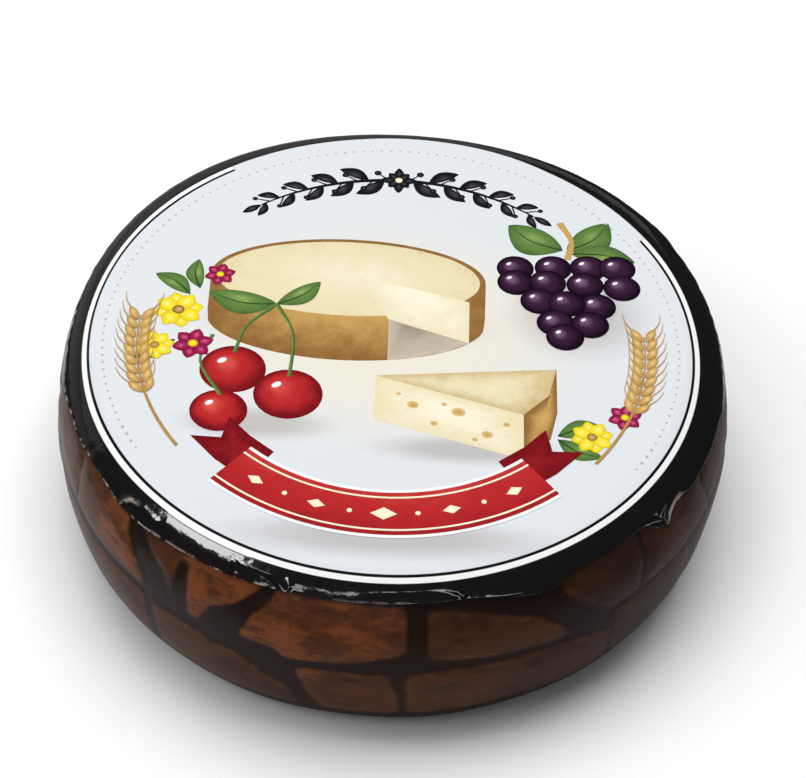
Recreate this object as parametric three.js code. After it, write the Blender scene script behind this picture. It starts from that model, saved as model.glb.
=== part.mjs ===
// Hard cheese wheel: a convex drum of cheese whose rind is marked by a net,
// with one round printed label laid on the top and folded down over the shoulder.
// Units are millimetres, +Z is up, the wheel rests on z = 0 and -Y is the front.
// Azimuths are degrees from the front, positive toward +X.
import * as THREE from 'three';

// ---- the wheel ----
const HEIGHT = 88;                // resting face to the top of the label
const BELLY_RADIUS = 150;         // widest girth, halfway up
const TOP_FLAT_RADIUS = 126;      // the shoulder starts to round off here
const BASE_FLAT_RADIUS = 131;     // edge of the resting face
const OUT_OF_ROUND = [            // slow waves of the girth: lobes, cosine and sine in mm
  [2, 1.46, -0.32],
  [3, 1.25, -0.39],
  [4, -1.34, 0.06],
];

// ---- the rind ----
const NET_DEPTH = 1.5;            // the net lies this far below the crown of the pads
const PAD_CROWN = 0.5;            // extra swell from the edge of a pad to its middle
const PAD_CROWN_REACH = 9;        // distance over which a pad swells up
const SWELL = 0.4;                // slow hand-made unevenness of the rind
const HEEL_HEIGHT = 8;            // the lower pads end above this height

// ---- the label ----
const LABEL_THICKNESS = 0.4;
const LABEL_GAP = 0.3;            // clearance between the label and the rind
const LABEL_CENTRE = [-2.2, -2.9]; // the label is laid a little off the axis
const PRINT_RADIUS = 131.6;       // outer edge of the pale printed disc
const FOLD_HEIGHT = 1.1;          // creases stand this proud of the folded border

// ---- fineness of the facets ----
const WHEEL_COLUMNS = 180;
const WHEEL_ROWS_ABOVE = 13;      // rows from the belly up to the top flat
const WHEEL_ROWS_BELOW = 11;      // rows from the belly down to the base
const LABEL_COLUMNS = 120;
const LABEL_TURN_ROWS = 2;        // rows from the flat out to the edge of the print
const LABEL_FOLD_ROWS = 5;        // rows from there down to the label's edge

// Net strands over the shown half of the side: [azimuth, height, width].
// The hidden half of the side repeats them, turned by half a turn.
const STRANDS = [
  // the long strand round the waist
  [
    [-90, 53, 4], [-62, 52, 4], [-41, 49.5, 5], [-26, 51, 7], [-15, 48.5, 8], [-5, 53, 6.5],
    [0, 54.5, 7], [10, 52.5, 5], [30, 50.5, 4], [35, 52, 8], [48, 54.5, 4], [90, 53, 4],
  ],
  // strands from under the label down to the waist
  [[-86, 84, 5], [-84, 68, 5], [-85, 53, 6]],
  [[-65, 84, 4], [-64, 68, 4], [-63, 52, 5]],
  [[-46.5, 84, 6], [-43, 70, 7], [-39.5, 60, 11], [-38, 50, 12]],
  [[-33.5, 76, 3], [-33.4, 66, 6], [-33.5, 51, 7]],
  [[-17.5, 84, 6], [-19, 76, 6.5], [-21.7, 64, 9], [-24, 54, 16]],
  [[5.4, 84, 7], [5.4, 58, 7.5], [4, 53, 9]],
  [[23, 84, 7], [26, 73, 9], [28.5, 66, 9], [31.5, 60, 10], [35, 53, 12]],
  [[43.5, 84, 4], [44.6, 68, 4], [44.5, 54, 5]],
  [[67, 84, 5], [65, 68, 4], [67, 54, 5]],
  // strands from the waist down to the heel
  [[-74, 53, 5], [-72, 30, 5], [-75, 6, 6]],
  [[-39.5, 50, 5], [-39, 30, 4], [-41, 6, 5]],
  [[-23, 50, 9], [-18, 42, 14], [-13.8, 34, 9], [-12.5, 25, 8], [-10, 6, 10]],
  [[3, 53, 9], [2.6, 40, 6.5], [3.5, 28, 5], [4, 6, 5]],
  [[35.5, 51, 10], [38, 40, 4], [38.2, 30, 4], [41, 6, 5]],
  [[58, 54, 5], [60, 35, 4], [59, 6, 5]],
  [[83, 53, 5], [82, 30, 5], [86, 6, 5]],
];

// Height of the label's lower edge round the wheel: [azimuth, height].
const LABEL_EDGE = [
  [-84, 69.5], [-70, 75.5], [-56, 77.9], [-48, 77.2], [-31, 79.2], [-7, 80.4], [13, 80.8],
  [27, 77], [33, 80.2], [46, 80], [52, 73.4], [57, 77], [62, 74.5], [76, 73.5], [84, 71],
  [112, 76.5], [140, 74], [178, 77], [214, 74.5], [248, 76], [276, 69.5],
];

// Creases of the folded border: [azimuth, height] from end to end, and the width.
const CREASES = [
  { line: [[-52, 80], [-49, 79], [-46, 77.5]], width: 4 },
  { line: [[-25, 84.5], [-20, 84], [-16.5, 81.5]], width: 3.5 },
  { line: [[-14, 81.5], [-5, 83.5], [5, 84.8], [11, 84.5], [13, 82]], width: 3.5 },
  { line: [[16, 81.5], [21, 79.5], [25, 78]], width: 4 },
  { line: [[45, 81.5], [51, 75.5], [54, 77.5], [58, 80.5]], width: 4 },
  { line: [[-104, 82], [-98, 75]], width: 5 },
  { line: [[118, 83], [124, 78.5], [131, 76]], width: 4 },
  { line: [[160, 82], [167, 78.5]], width: 5 },
  { line: [[190, 83], [196, 78]], width: 5 },
];

const { degToRad, radToDeg, smoothstep, clamp, euclideanModulo } = THREE.MathUtils;
const MM_PER_DEGREE = degToRad(BELLY_RADIUS);
const MIDDLE = HEIGHT / 2;

function outOfRound(azimuth) {
  const a = degToRad(azimuth);
  return OUT_OF_ROUND.reduce((sum, [lobes, c, s]) => {
    return sum + c * Math.cos(lobes * a) + s * Math.sin(lobes * a);
  }, 0);
}

// A point of the plain drum. Below the flats the section is two quarter ellipses
// that meet at the belly: tilt runs from 90 (top flat) through 0 to -90 (base).
// The point is pushed out along the section's normal by `lift`.
function drumPoint(azimuth, tilt, lift) {
  const t = degToRad(tilt);
  const flat = tilt >= 0 ? TOP_FLAT_RADIUS : BASE_FLAT_RADIUS;
  const reach = BELLY_RADIUS - flat;
  const rise = MIDDLE - LABEL_THICKNESS - LABEL_GAP;
  const half = tilt >= 0 ? rise : MIDDLE;
  const normal = new THREE.Vector2(Math.cos(t) / reach, Math.sin(t) / half).normalize();
  const radius = flat + reach * Math.cos(t) + outOfRound(azimuth) + lift * normal.x;
  const height = MIDDLE + half * Math.sin(t) + lift * normal.y;
  return discPoint(azimuth, radius, height);
}

function discPoint(azimuth, radius, height) {
  const a = degToRad(azimuth);
  return new THREE.Vector3(radius * Math.sin(a), -radius * Math.cos(a), height);
}

// Distance from a point on the unrolled side to a line of [azimuth, height, width],
// and the width of the line where it comes nearest.
function nearest(line, azimuth, height) {
  let best = { distance: Infinity, width: 1 };
  for (let i = 1; i < line.length; i += 1) {
    const [a0, h0, w0 = 1] = line[i - 1];
    const [a1, h1, w1 = 1] = line[i];
    const along = new THREE.Vector2((a1 - a0) * MM_PER_DEGREE, h1 - h0);
    const to = new THREE.Vector2((azimuth - a0) * MM_PER_DEGREE, height - h0);
    const share = clamp(to.dot(along) / along.lengthSq(), 0, 1);
    const distance = to.sub(along.multiplyScalar(share)).length();
    if (distance < best.distance) {
      best = { distance, width: w0 + (w1 - w0) * share };
    }
  }
  return best;
}

// How far the rind lies below the crown of its pads: the net presses grooves in,
// and between them each pad swells gently toward its middle.
function rindDepth(azimuth, height) {
  let open = 1;
  let toNet = height - HEEL_HEIGHT;
  const shown = within(azimuth, -90);
  for (const strand of STRANDS) {
    for (const turn of [-360, -180, 0, 180]) {
      const { distance, width } = nearest(strand, shown + turn, height);
      open *= smoothstep(distance, 0.3 * width, 0.3 * width + 3);
      toNet = Math.min(toNet, distance - width / 2);
    }
  }
  open *= smoothstep(height, HEEL_HEIGHT - 1.5, HEEL_HEIGHT + 2.5);
  const crown = smoothstep(toNet, 0, PAD_CROWN_REACH);
  return NET_DEPTH * (1 - open) + PAD_CROWN * (1 - crown) * open;
}

function swell(azimuth, height) {
  const a = degToRad(azimuth);
  return SWELL * Math.sin(9 * a + height / 11) * Math.sin(4 * a - height / 17 + 1);
}

// The pads carry on under the label, but there the rind fades back to the plain drum.
function rindPoint(azimuth, tilt) {
  const height = MIDDLE + MIDDLE * Math.sin(degToRad(tilt));
  const shown = 1 - smoothstep(height, 74, 86);
  const base = smoothstep(height, 0, 5);
  const depth = rindDepth(azimuth, height) + SWELL - swell(azimuth, height);
  return drumPoint(azimuth, tilt, -depth * shown * base);
}

// The same azimuth, brought into the turn that starts at a given one.
function within(azimuth, start) {
  return start + euclideanModulo(azimuth - start, 360);
}

// Height of the label's edge, eased from one listed point to the next.
function edgeHeight(azimuth) {
  const turned = within(azimuth, LABEL_EDGE[0][0]);
  const next = LABEL_EDGE.findIndex(([a]) => a > turned);
  const [a0, h0] = LABEL_EDGE[next - 1];
  const [a1, h1] = LABEL_EDGE[next];
  return h0 + (h1 - h0) * smoothstep(turned, a0, a1);
}

function creaseLift(azimuth, height) {
  const lifts = CREASES.map(({ line, width }) => {
    return 1 - smoothstep(nearest(line, within(azimuth, -150), height).distance, 0, width);
  });
  return FOLD_HEIGHT * Math.max(...lifts);
}

// Closes a body from a pole, rings of points going round it, and a last pole.
function closedBody(firstPole, rings, lastPole) {
  const columns = rings[0].length;
  const points = [firstPole, ...rings.flat(), lastPole];
  const at = (ring, column) => 1 + ring * columns + (column % columns);
  const index = [];
  for (let c = 0; c < columns; c += 1) {
    index.push(0, at(0, c), at(0, c + 1));
    for (let r = 1; r < rings.length; r += 1) {
      index.push(at(r - 1, c), at(r, c), at(r, c + 1));
      index.push(at(r - 1, c), at(r, c + 1), at(r - 1, c + 1));
    }
    index.push(at(rings.length - 1, c), points.length - 1, at(rings.length - 1, c + 1));
  }
  const geometry = new THREE.BufferGeometry().setFromPoints(points);
  geometry.setIndex(index);
  geometry.computeVertexNormals();
  return geometry;
}

function ringOf(columns, pointAt) {
  return Array.from({ length: columns }, (_, c) => pointAt((c * 360) / columns));
}

function wheelGeometry() {
  const top = HEIGHT - LABEL_THICKNESS - LABEL_GAP;
  const rings = [ringOf(WHEEL_COLUMNS, (a) => discPoint(a, TOP_FLAT_RADIUS / 2, top))];
  for (let row = WHEEL_ROWS_ABOVE; row > -WHEEL_ROWS_BELOW; row -= 1) {
    const tilt = (90 * row) / (row > 0 ? WHEEL_ROWS_ABOVE : WHEEL_ROWS_BELOW);
    rings.push(ringOf(WHEEL_COLUMNS, (a) => rindPoint(a, tilt)));
  }
  rings.push(ringOf(WHEEL_COLUMNS, (a) => {
    return discPoint(a, BASE_FLAT_RADIUS + outOfRound(a), 0);
  }));
  return closedBody(new THREE.Vector3(0, 0, top), rings, new THREE.Vector3(0, 0, 0));
}

// Radius from the wheel's axis out to a circle drawn round the label's own centre.
function printRadius(azimuth) {
  const a = degToRad(azimuth);
  const [x, y] = LABEL_CENTRE;
  const toward = x * Math.sin(a) - y * Math.cos(a);
  const aside = x * Math.cos(a) + y * Math.sin(a);
  return toward + Math.sqrt(PRINT_RADIUS ** 2 - aside ** 2);
}

// Tilt of the drum's section where it comes to a given radius on the upper half.
function tiltAtRadius(radius) {
  return radToDeg(Math.acos((radius - TOP_FLAT_RADIUS) / (BELLY_RADIUS - TOP_FLAT_RADIUS)));
}

// One face of the label: flat over the top, then down the shoulder to its edge.
function labelRings(lift, folded) {
  const flat = 2 * MIDDLE - LABEL_THICKNESS - LABEL_GAP + lift;
  const rings = [ringOf(LABEL_COLUMNS, (a) => discPoint(a, TOP_FLAT_RADIUS / 2, flat))];
  for (let row = 0; row < LABEL_TURN_ROWS; row += 1) {
    rings.push(ringOf(LABEL_COLUMNS, (a) => {
      const turn = (tiltAtRadius(printRadius(a)) - 90) * (row / LABEL_TURN_ROWS);
      return drumPoint(a, 90 + turn, lift);
    }));
  }
  for (let row = 0; row <= LABEL_FOLD_ROWS; row += 1) {
    rings.push(ringOf(LABEL_COLUMNS, (a) => {
      const start = tiltAtRadius(printRadius(a));
      const end = radToDeg(Math.asin((edgeHeight(a) - MIDDLE) / MIDDLE));
      const tilt = start + ((end - start) * row) / LABEL_FOLD_ROWS;
      const height = MIDDLE + MIDDLE * Math.sin(degToRad(tilt));
      const crease = folded && row > 0 ? creaseLift(a, height) : 0;
      return drumPoint(a, tilt, lift + crease);
    }));
  }
  return rings;
}

function labelGeometry() {
  const outer = labelRings(LABEL_GAP + LABEL_THICKNESS, true);
  const inner = labelRings(LABEL_GAP, false).reverse();
  const under = new THREE.Vector3(0, 0, HEIGHT - LABEL_THICKNESS);
  return closedBody(new THREE.Vector3(0, 0, HEIGHT), [...outer, ...inner], under);
}

const rind = new THREE.MeshStandardMaterial({ color: 0x6a3a1e, roughness: 0.45, metalness: 0 });
const paper = new THREE.MeshStandardMaterial({ color: 0xe2e6ea, roughness: 0.3, metalness: 0 });

const wheel = new THREE.Mesh(wheelGeometry(), rind);
wheel.name = 'cheese_wheel';

const label = new THREE.Mesh(labelGeometry(), paper);
label.name = 'top_label';

const cheese = new THREE.Group();
cheese.name = 'hard_cheese_wheel';
cheese.add(wheel, label);

export default cheese;
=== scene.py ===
# %% [markdown]
# # A whole hard cheese with a folded label
# The object is one wheel of hard cheese, about 300 mm across and 88 mm high. Its sides
# bulge, a net has marked its dark rind, and a round printed label lies on the top and is
# folded down over the shoulder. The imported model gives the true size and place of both
# solids. This lesson models each of them again with a finer surface and gives it a finish.

import math

import bmesh
import bpy
import numpy as np
from mathutils import Matrix, Quaternion, Vector


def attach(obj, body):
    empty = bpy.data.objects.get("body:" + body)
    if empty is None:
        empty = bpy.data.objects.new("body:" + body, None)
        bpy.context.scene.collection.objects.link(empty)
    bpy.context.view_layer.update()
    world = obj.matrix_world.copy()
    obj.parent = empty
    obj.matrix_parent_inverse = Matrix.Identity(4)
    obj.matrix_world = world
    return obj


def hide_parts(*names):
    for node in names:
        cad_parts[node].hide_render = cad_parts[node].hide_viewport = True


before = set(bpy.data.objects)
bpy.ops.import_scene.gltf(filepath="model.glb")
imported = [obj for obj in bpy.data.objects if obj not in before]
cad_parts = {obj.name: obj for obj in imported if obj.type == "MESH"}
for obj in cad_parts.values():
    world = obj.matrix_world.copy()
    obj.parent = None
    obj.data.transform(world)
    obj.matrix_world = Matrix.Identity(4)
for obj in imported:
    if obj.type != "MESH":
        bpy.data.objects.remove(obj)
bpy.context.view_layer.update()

# %% [markdown]
# ## The drum
# Everything on the wheel is placed on one plain drum. Its section is flat on top, turns
# down over an elliptical shoulder to the belly, and comes in again below on a second
# ellipse to the flat it rests on. A lathe would give a perfect drum, but a cheese that
# ripened in a net is a little out of round, so slow waves are added to its girth.
# Places on the side are given as an azimuth in degrees from the front, growing toward +X,
# and a height in millimetres.

# %% Sizes of the drum, mm
MM = 0.001
HEIGHT = 88
BELLY_RADIUS = 150
TOP_FLAT_RADIUS = 126
BASE_FLAT_RADIUS = 131
OUT_OF_ROUND = [(2, 1.46, -0.32), (3, 1.25, -0.39), (4, -1.34, 0.06)]
LABEL_THICKNESS = 0.4
LABEL_GAP = 0.3
MIDDLE = HEIGHT / 2
RISE = MIDDLE - LABEL_THICKNESS - LABEL_GAP
MM_PER_DEGREE = math.radians(BELLY_RADIUS)


def out_of_round(azimuth):
    a = np.radians(azimuth)
    return sum(c * np.cos(n * a) + s * np.sin(n * a) for n, c, s in OUT_OF_ROUND)


def drum_section(tilt, lift=0.0):
    """Radius and height of the drum's section: tilt 90 is the top flat, 0 the belly."""
    t = np.radians(tilt)
    above = np.asarray(tilt) >= 0
    flat = np.where(above, TOP_FLAT_RADIUS, BASE_FLAT_RADIUS)
    reach = BELLY_RADIUS - flat
    half = np.where(above, RISE, MIDDLE)
    out, up = np.cos(t) / reach, np.sin(t) / half
    length = np.hypot(out, up)
    radius = flat + reach * np.cos(t) + lift * out / length
    height = MIDDLE + half * np.sin(t) + lift * up / length
    return radius, height


def placed(azimuth, radius, height):
    a = np.radians(azimuth)
    return np.stack([radius * np.sin(a), -radius * np.cos(a), height], -1) * MM


def smooth(value, low, high):
    t = np.clip((value - low) / (high - low), 0, 1)
    return t * t * (3 - 2 * t)


print("girth varies by", round(float(np.ptp(out_of_round(np.arange(360)))), 1), "mm")

# %% [markdown]
# ## The net on the rind
# The net leaves dark, slightly sunken bands, and between them the rind swells into brown
# pads. Each strand is a short line of points with a width, read off the shown side.
# How deep a point lies depends only on its distance to the strands, and blending those
# distances rounds the corners of the pads. A strand of no width, or of a width below zero,
# leaves only a faint mark. The hidden half repeats the shown one.

# %% The strands: azimuth, height, width
NET_DEPTH = 0.9
NET_EDGE = (-1.4, 2.4)
NET_BLEND = 1.3
NET_FIRMNESS_LOW = 0.35
NET_FIRMING = (15, 50)
PAD_CROWN = 0.4
PAD_CROWN_REACH = 9
SWELL = 0.4
# a dark band round the foot, pressed in a little and coloured as a strand: painted shade where the
# wheel meets the floor
SHADED_HEEL_HEIGHT = 15
STRANDS = [
    # the long strand round the waist
    [
        (-90, 53, 3), (-70, 49, 5), (-60, 50, 2.5), (-41, 49.5, 3), (-33, 50, 6),
        (-24, 48.5, 6), (-20, 46, 5), (-15, 46, 5), (-10, 48.6, 3.6), (-5, 49.8, 4.8),
        (0, 51.6, 8), (6, 52, 6.5), (11, 51.2, 4.5), (16, 50.6, 3), (28, 50, 2.6),
        (34, 50.5, 8), (40, 53, 2.5), (48, 53, 1), (62, 52.5, 0), (90, 52, 1),
    ],
    # strands from under the label down to the waist
    [(-86, 84, 5), (-84, 68, 5), (-85, 53, 6)],
    [(-64, 84, -1), (-62, 68, -1.5), (-61.5, 52, 1)],
    [(-46, 84, 6), (-44.5, 74, 8), (-41.5, 67, 11), (-38.5, 60, 14), (-37, 53, 14)],
    [(-33.4, 73, 4), (-33.2, 66, 6.5), (-33, 56, 7), (-33, 51, 7)],
    [(-17.5, 84, 5), (-19.5, 74, 5.5), (-21.8, 68, 6), (-23, 64, 10), (-25, 58, 15), (-26, 53, 16)],
    [(5.4, 84, 7), (5.4, 58, 7.5), (4, 53, 9)],
    [(25, 80, 15), (26.8, 73, 14), (27.6, 69, 12), (29.6, 64, 11), (32, 59, 12), (35.5, 52, 11)],
    [(45.8, 82, 0.5), (46, 68, 1), (44.5, 54, 1)],
    [(67, 84, 0), (65, 68, 0), (67, 54, 0.5)],
    # the shaded rind right under the label
    [(-15, 82, 4), (-5, 82, 4), (5, 81, 4), (12, 79, 5), (19, 77, 9), (25, 74, 12)],
    # strands from the waist down to the heel
    [(-74, 53, 5), (-72, 30, 5), (-75, 6, 6)],
    [(-39.5, 50, 4), (-39, 30, 3.5), (-40, 6, 5)],
    [
        (-24, 50, 8), (-18, 46, 15), (-16.4, 41.5, 16), (-15, 38, 12), (-13.9, 34.6, 9),
        (-12.9, 27.8, 6.5), (-11.3, 18, 7), (-11, 6, 8),
    ],
    [(3, 53, 7), (2.6, 45, 6), (3, 38, 3.5), (3.5, 28, 2), (4, 6, 2)],
    [(35.5, 51, 9), (37.5, 45, 4), (38.5, 40, 1.6), (38.5, 30, 1.6), (41, 6, 2)],
    [(58, 54, 0.5), (60, 35, 0), (59, 6, 0.5)],
    [(83, 53, 5), (82, 30, 5), (86, 6, 5)],
]

print(len(STRANDS), "strands on each half of the side")


# %% Measure how deep a place lies
def within(azimuth, start):
    return start + np.mod(azimuth - start, 360)


def nearest(line, azimuth, height):
    """Distance to a line on the unrolled side, and the line's third number at that place."""
    best = np.full(np.shape(azimuth), np.inf)
    third = np.ones(np.shape(azimuth))
    for (a0, h0, w0), (a1, h1, w1) in zip(line, line[1:]):
        along = ((a1 - a0) * MM_PER_DEGREE, h1 - h0)
        to = ((azimuth - a0) * MM_PER_DEGREE, height - h0)
        share = (to[0] * along[0] + to[1] * along[1]) / (along[0] ** 2 + along[1] ** 2)
        share = np.clip(share, 0, 1)
        away = np.hypot(to[0] - share * along[0], to[1] - share * along[1])
        closer = away < best
        best = np.where(closer, away, best)
        third = np.where(closer, w0 + (w1 - w0) * share, third)
    return best, third


def net_marks(azimuth, height):
    """Openness (1 on a pad, 0 in a strand) and the distance from a pad's edge inward."""
    shown = within(azimuth, -90)
    # the foot is closed like a strand, as painted shade where the wheel meets the floor
    total = np.exp((SHADED_HEEL_HEIGHT - height) / NET_BLEND)
    for strand in STRANDS:
        for turn in (-360, -180, 0, 180):
            distance, width = nearest(strand, shown + turn, height)
            total = total + np.exp((width / 2 - distance) / NET_BLEND)
    to_net = -NET_BLEND * np.log(total)
    return smooth(to_net, *NET_EDGE), to_net


def rind_depth(azimuth, height, opened, to_net):
    a = np.radians(azimuth)
    crown = smooth(to_net, 0, PAD_CROWN_REACH)
    swell = SWELL * np.sin(9 * a + height / 11) * np.sin(4 * a - height / 17 + 1)
    firm = NET_FIRMNESS_LOW + (1 - NET_FIRMNESS_LOW) * smooth(height, *NET_FIRMING)
    pressed = firm * NET_DEPTH * (1 - opened) + PAD_CROWN * (1 - crown) * opened
    return pressed + SWELL - swell


print("strands are pressed in by", NET_DEPTH, "mm")

# %% [markdown]
# The pads differ in colour, partly because each lay a little differently in its net while the
# rind dried, and partly as painted shade: the pads toward the right, away from the lamps on
# the left, are given darker numbers. One or two numbers for each pad, from 0 for the darkest
# to about 1 for the warmest brown, are read off the shown side. A point takes mostly the number
# of the nearest place, so the change from one pad to the next falls in the dark band between
# them.

# %% The tone of the pads, with painted shade toward the right: azimuth, height, tone
PAD_TONES_AND_SHADE = [
    (-75, 68, 0.60), (-58, 68, 0.55), (-47, 69, 0.98), (-38, 68, 0.50), (-28, 63, 1.20),
    (-27, 73, 1.05), (-14, 59, 1.10), (-13, 71, 0.80), (-4, 63, 0.78), (-3, 73, 0.80),
    (11, 63, 0.50), (12, 73, 0.26), (21, 61, 0.44), (34, 73, 0.22), (40, 65, 0.14),
    (52, 68, 0.26), (63, 67, 0.20), (78, 68, 0.28),
    (-85, 28, 0.45), (-57, 28, 0.32), (-44, 35, 0.34), (-31, 38, 0.36), (-23, 28, 0.28),
    (-5, 30, 0.52), (12, 32, 0.42), (26, 32, 0.28), (48, 30, 0.12), (71, 28, 0.25),
]


def pad_tone_and_shade(azimuth, height):
    folded = within(azimuth, -90)
    folded = np.where(folded > 90, folded - 180, folded)
    tone_and_shade = np.zeros(np.shape(azimuth))
    weight = np.zeros(np.shape(azimuth))
    for pad_azimuth, pad_height, pad_tone in PAD_TONES_AND_SHADE:
        for turn in (-180, 0, 180):
            aside = (folded - pad_azimuth - turn) * MM_PER_DEGREE
            near = (1 + aside**2 + (height - pad_height) ** 2) ** -2.5
            tone_and_shade += pad_tone * near
            weight += near
    return tone_and_shade / weight


print(len(PAD_TONES_AND_SHADE), "warmths on each half of the side")

# %% [markdown]
# ## The cheese
# A lathe would turn the wheel, and a spin of its section would make it here too, but a spin
# of so many steps is slow. Instead a flat grid is wrapped round the axis: its length is the
# way round and its rows are the places along the section, and then its seam and its two
# poles are merged. Each point of the side is pressed in along the section's normal by the
# depth of the net there, so the relief is real shape, and the same openness is stored on the
# mesh for the colours.

# %% Helpers for wrapped sheets
def as_piece(name, bm):
    """Turns a bmesh into an object that lies at the origin."""
    mesh = bpy.data.meshes.new(name)
    bm.to_mesh(mesh)
    bm.free()
    piece = bpy.data.objects.new(name, mesh)
    bpy.context.collection.objects.link(piece)
    return piece


def sheet(name, columns, rows):
    """A grid to wrap, with the azimuth and the row number of each of its points."""
    bm = bmesh.new()
    bmesh.ops.create_grid(bm, x_segments=columns, y_segments=rows - 1, size=1)
    piece = as_piece(name, bm)
    co = np.empty(3 * len(piece.data.vertices))
    piece.data.vertices.foreach_get("co", co)
    along, across, _ = co.reshape(-1, 3).T
    return piece, 180 * along, np.rint((1 - across) / 2 * (rows - 1)).astype(int)


def store(piece, name, values):
    """Keeps one number for each point under a name that a material can read."""
    layer = piece.data.attributes.new(name, "FLOAT", "POINT")
    layer.data.foreach_set("value", values.astype(np.float32))


def wrap(piece, points):
    """Moves the grid's points to their places and merges its seam and poles."""
    piece.data.vertices.foreach_set("co", points.astype(np.float32).ravel())
    bm = bmesh.new()
    bm.from_mesh(piece.data)
    bmesh.ops.remove_doubles(bm, verts=bm.verts, dist=0.01 * MM)
    bmesh.ops.recalc_face_normals(bm, faces=bm.faces)
    for face in bm.faces:
        face.smooth = True
    bm.to_mesh(piece.data)
    bm.free()
    print(piece.name, "has", len(piece.data.polygons), "faces")


def thicken(piece, thickness_mm):
    """Gives a sheet its thickness, inward from the face that shows."""
    wall = piece.modifiers.new("thickness", "SOLIDIFY")
    wall.thickness = thickness_mm * MM
    wall.offset = -1


# %% Wrap the wheel and press the net in
CHEESE_COLUMNS = 840
SIDE_ROWS = 101
FLAT_SHARES = [0.0, 0.25, 0.5, 0.75, 0.94]
COLLAR_FADE = (74, 86)
BASE_FADE = (0, 5)

side_tilts = np.linspace(90, -90, SIDE_ROWS)
row_tilt = np.concatenate([[90.0] * len(FLAT_SHARES), side_tilts, [-90.0] * len(FLAT_SHARES)])
row_share = np.concatenate([FLAT_SHARES, np.ones(SIDE_ROWS), FLAT_SHARES[::-1]])
wheel, azimuth, row = sheet("cheese", CHEESE_COLUMNS, len(row_tilt))
tilt, share = row_tilt[row], row_share[row]
_, height = drum_section(tilt)
opened, to_net = net_marks(azimuth, height)
depth = rind_depth(azimuth, height, opened, to_net)
depth = depth * (1 - smooth(height, *COLLAR_FADE)) * smooth(height, *BASE_FADE)
radius, height = drum_section(tilt, -depth)
store(wheel, "pad", opened)
store(wheel, "inward", np.clip(to_net / PAD_CROWN_REACH, 0, 1))
# the pad tone, with painted shade darker toward the right
store(wheel, "tone_and_shade", pad_tone_and_shade(azimuth, height))
wrap(wheel, placed(azimuth, share * (radius + out_of_round(azimuth)), height))

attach(wheel, "root")
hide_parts("cheese_wheel")

# %% [markdown]
# ## Node helpers
# The finishes below are node graphs. A few helpers keep them short: one makes a node with
# its inputs set, one mixes two colours, and one makes noise of a size in millimetres.

# %% Helpers for materials
class Finish:
    """One material, with short ways to add and join its nodes."""

    def __init__(self, name):
        self.material = bpy.data.materials.new(name)
        self.material.use_nodes = True
        self.tree = self.material.node_tree
        self.shader = self.tree.nodes["Principled BSDF"]
        self.place = self.tree.nodes.new("ShaderNodeTexCoord").outputs["Object"]

    def set(self, socket, value):
        if isinstance(value, bpy.types.NodeSocket):
            self.tree.links.new(value, socket)
        elif socket.type == "RGBA" and len(value) == 3:
            socket.default_value = (*value, 1)
        else:
            socket.default_value = value

    def node(self, kind, inputs=(), **settings):
        """A node with its inputs set by their names or numbers."""
        made = self.tree.nodes.new("ShaderNode" + kind)
        for key, value in settings.items():
            setattr(made, key, value)
        for key, value in dict(inputs).items():
            self.set(made.inputs[key], value)
        return made

    def math(self, operation, *values):
        return self.node("Math", enumerate(values), operation=operation).outputs[0]

    def ramp(self, value, low, high, low_out=0.0, high_out=1.0):
        """A soft step: low_out where the value is at low, high_out where it is at high."""
        inputs = enumerate((value, low, high, low_out, high_out))
        return self.node("MapRange", inputs, interpolation_type="SMOOTHSTEP").outputs["Result"]

    def mix(self, share, first, second):
        return self.node("Mix", {0: share, 6: first, 7: second}, data_type="RGBA").outputs[2]

    def swing(self, noise, reach):
        """Noise as a number that swings evenly about zero."""
        return self.math("MULTIPLY", self.math("SUBTRACT", noise, 0.5), reach)

    def noise(self, size_mm, detail=3.0, roughness=0.5, stretch=(1, 1, 1)):
        scale = [s / (size_mm * MM) for s in stretch]
        spot = self.node("Mapping", {"Vector": self.place, "Scale": scale}).outputs[0]
        inputs = {"Vector": spot, "Scale": 1, "Detail": detail, "Roughness": roughness}
        return self.node("TexNoise", inputs).outputs["Fac"]

    def length(self, vector):
        return self.node("VectorMath", {0: vector}, operation="LENGTH").outputs["Value"]

    def attribute(self, name):
        return self.node("Attribute", attribute_name=name).outputs["Fac"]

    def bump(self, height, depth_mm, **under):
        inputs = {"Height": height, "Distance": depth_mm * MM, "Strength": 1.0, **under}
        return self.node("Bump", inputs).outputs["Normal"]

    def principled(self, **values):
        """Sets the shader's own sockets, each by its name in small letters."""
        for key, value in values.items():
            socket = key.replace("_", " ").title().replace("Ior", "IOR")
            self.set(self.shader.inputs[socket], value)


# %% [markdown]
# ## The rind's finish
# A net-marked rind is nearly black in the strands' bands and brown on the pads, mottled in
# darker and more orange patches. A thin coating, thicker on the left, gives it a soft sheen
# that shows most where the side turns away. The colours come from the stored openness and
# pad tone, broken up by noise, so that no edge is ruled. The pad tone holds painted shade
# toward the right, and a painted highlight lightens a broken band along each pad's edge.

# %% Colour the rind
BAND = (0.0150, 0.0072, 0.0060)
PAD_DARK = (0.024, 0.0105, 0.0062)
PAD_BROWN = (0.072, 0.0245, 0.0098)
PAD_ORANGE = (0.178, 0.052, 0.0135)
PAD_EDGE_HIGHLIGHT = (0.150, 0.056, 0.024)
RAGGED = 0.6
PATCH_SWING, MOTTLE_SWING = 2.2, 1.2
GRAIN_DEPTH = 0.25
COAT_LEFT, COAT_MIDDLE = 0.26, 0.055
COAT_HEEL = (9, 19)

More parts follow.
